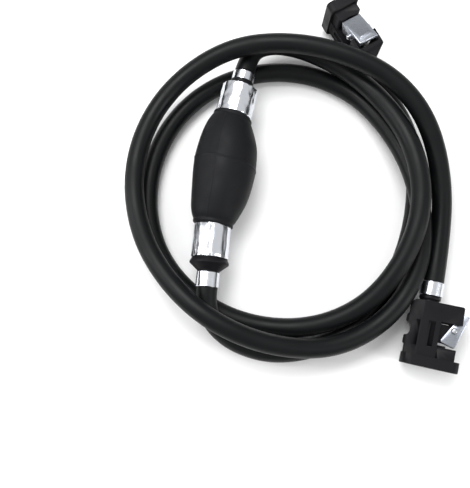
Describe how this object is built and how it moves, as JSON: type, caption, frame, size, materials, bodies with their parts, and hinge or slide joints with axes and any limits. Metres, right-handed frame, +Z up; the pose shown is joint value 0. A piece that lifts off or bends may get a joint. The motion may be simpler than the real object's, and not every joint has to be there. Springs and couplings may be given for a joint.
{
  "type": "siphon bulb pump",
  "caption": "Fuel line with a hand-squeezed primer bulb, check valves, coiled rubber hoses and a latching quick connector at each end.",
  "frame": {"origin": "on the ground under the middle of the bulb unit", "axes": "+Y along the bulb towards its outlet end, +Z up, +X towards the middle of the coiled hoses"},
  "size_m": [0.2598, 0.2768, 0.0487],
  "materials": {
    "bulb_rubber": "moulded black rubber, satin, with fine parting lines",
    "hose_rubber": "extruded black rubber, satin",
    "moulded_nylon": "moulded glass-filled black nylon, fine texture",
    "acetal": "natural acetal, smooth",
    "seal_rubber": "nitrile rubber",
    "ferrule_steel": "bright crimped steel band",
    "bright_ring": "turned stainless steel",
    "stainless_sheet": "pressed stainless sheet, faintly brushed",
    "stainless_bar": "stainless pin",
    "spring_wire": "stainless spring wire"
  },
  "bodies": {
    "root": {"inlet_bulb_ferrule": "ferrule_steel", "outlet_bulb_ferrule": "ferrule_steel", "inlet_hose_ferrule": "ferrule_steel", "outlet_hose_ferrule": "ferrule_steel", "inlet_valve_housing": "moulded_nylon", "inlet_valve_spring": "spring_wire", "inlet_valve_retainer": "acetal", "outlet_valve_housing": "moulded_nylon", "outlet_valve_spring": "spring_wire", "outlet_valve_seat": "acetal", "long_hose": "hose_rubber", "short_hose": "hose_rubber", "tank_body": "moulded_nylon", "tank_flange": "moulded_nylon", "tank_lever_pin": "stainless_bar", "tank_lever_spring": "spring_wire", "tank_fuel_bushing": "moulded_nylon", "tank_retaining_ring": "bright_ring", "tank_o_ring": "seal_rubber", "tank_plunger_spring": "spring_wire", "tank_hose_barb": "moulded_nylon", "tank_hose_ferrule": "ferrule_steel", "engine_body": "moulded_nylon", "engine_flange": "moulded_nylon", "engine_lever_pin": "stainless_bar", "engine_lever_spring": "spring_wire", "engine_fuel_bushing": "moulded_nylon", "engine_retaining_ring": "bright_ring", "engine_o_ring": "seal_rubber", "engine_plunger_spring": "spring_wire", "engine_hose_barb": "moulded_nylon", "engine_hose_ferrule": "ferrule_steel"},
    "bulb": {"primer_bulb": "bulb_rubber"},
    "inlet_disc": {"inlet_valve_disc": "acetal"},
    "outlet_disc": {"outlet_valve_disc": "acetal"},
    "tank_lever": {"tank_lever": "stainless_sheet"},
    "tank_plunger": {"tank_plunger": "stainless_bar"},
    "engine_lever": {"engine_lever": "stainless_sheet"},
    "engine_plunger": {"engine_plunger": "stainless_bar"}
  },
  "joints": [
    {"name": "bulb_squeeze", "type": "slide", "parent": "root", "child": "bulb", "axis": [0, 0, -1], "range_m": [0, 0.008], "stiffness_N_per_m": 1500, "deforming": ["primer_bulb"]},
    {"name": "inlet_valve_lift", "type": "slide", "parent": "root", "child": "inlet_disc", "axis": [-0.0785, 0.9969, 0], "range_m": [0, 0.003], "stiffness_N_per_m": 40, "springref_m": -0.004, "deforming": ["inlet_valve_spring"]},
    {"name": "outlet_valve_lift", "type": "slide", "parent": "root", "child": "outlet_disc", "axis": [0.0785, 0.9969, 0], "range_m": [0, 0.003], "stiffness_N_per_m": 40, "springref_m": -0.004, "deforming": ["outlet_valve_spring"]},
    {"name": "tank_lever_press", "type": "hinge", "parent": "root", "child": "tank_lever", "pos_m": [0.08068, 0.12264, 0.0327], "axis": [0.7804, 0.6253, 0], "range_deg": [0, 15], "stiffness_Nm_per_rad": 0.04, "springref_deg": -17.19, "deforming": ["tank_lever_spring"]},
    {"name": "tank_plunger_push", "type": "slide", "parent": "root", "child": "tank_plunger", "axis": [0.6253, -0.7804, 0], "range_m": [0, 0.005], "stiffness_N_per_m": 100, "springref_m": -0.005, "deforming": ["tank_plunger_spring"]},
    {"name": "engine_lever_press", "type": "hinge", "parent": "root", "child": "engine_lever", "pos_m": [0.17766, -0.08329, 0.01809], "axis": [-0.227, -0.0313, 0.9734], "range_deg": [0, 15], "stiffness_Nm_per_rad": 0.04, "springref_deg": -17.19, "deforming": ["engine_lever_spring"]},
    {"name": "engine_plunger_push", "type": "slide", "parent": "root", "child": "engine_plunger", "axis": [0.0567, 0.9974, 0.0453], "range_m": [0, 0.005], "stiffness_N_per_m": 100, "springref_m": -0.005, "deforming": ["engine_plunger_spring"]}
  ]
}
